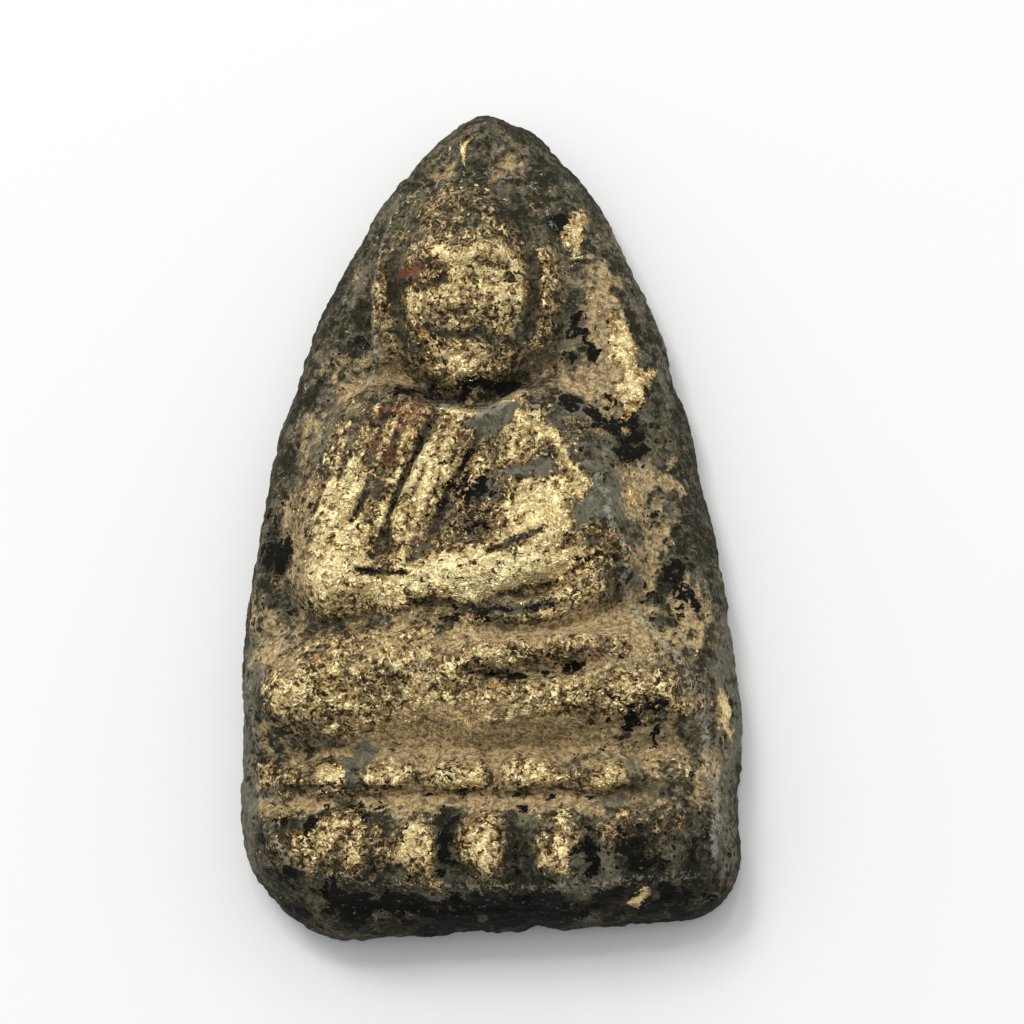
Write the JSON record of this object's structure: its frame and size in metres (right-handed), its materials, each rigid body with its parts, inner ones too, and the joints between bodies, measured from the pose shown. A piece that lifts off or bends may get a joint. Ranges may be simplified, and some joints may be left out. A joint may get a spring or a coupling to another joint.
{
  "type": "amulet tablet with a seated figure in relief",
  "caption": "Pointed clay amulet tablet with a seated figure on a lotus seat in worn relief, lacquered and gilded, flat at the back.",
  "frame": {"origin": "middle of the length and width of the tablet, on its flat back", "axes": "+X across the face to the right, +Y along the face to the point, +Z out of the face; the tablet lies on its back"},
  "size_m": [0.0274, 0.046, 0.0088],
  "materials": {
    "gilt_clay": "matt fired clay under worn dark lacquer and patches of gold leaf"
  },
  "bodies": {
    "root": {"tablet": "gilt_clay"}
  },
  "joints": []
}
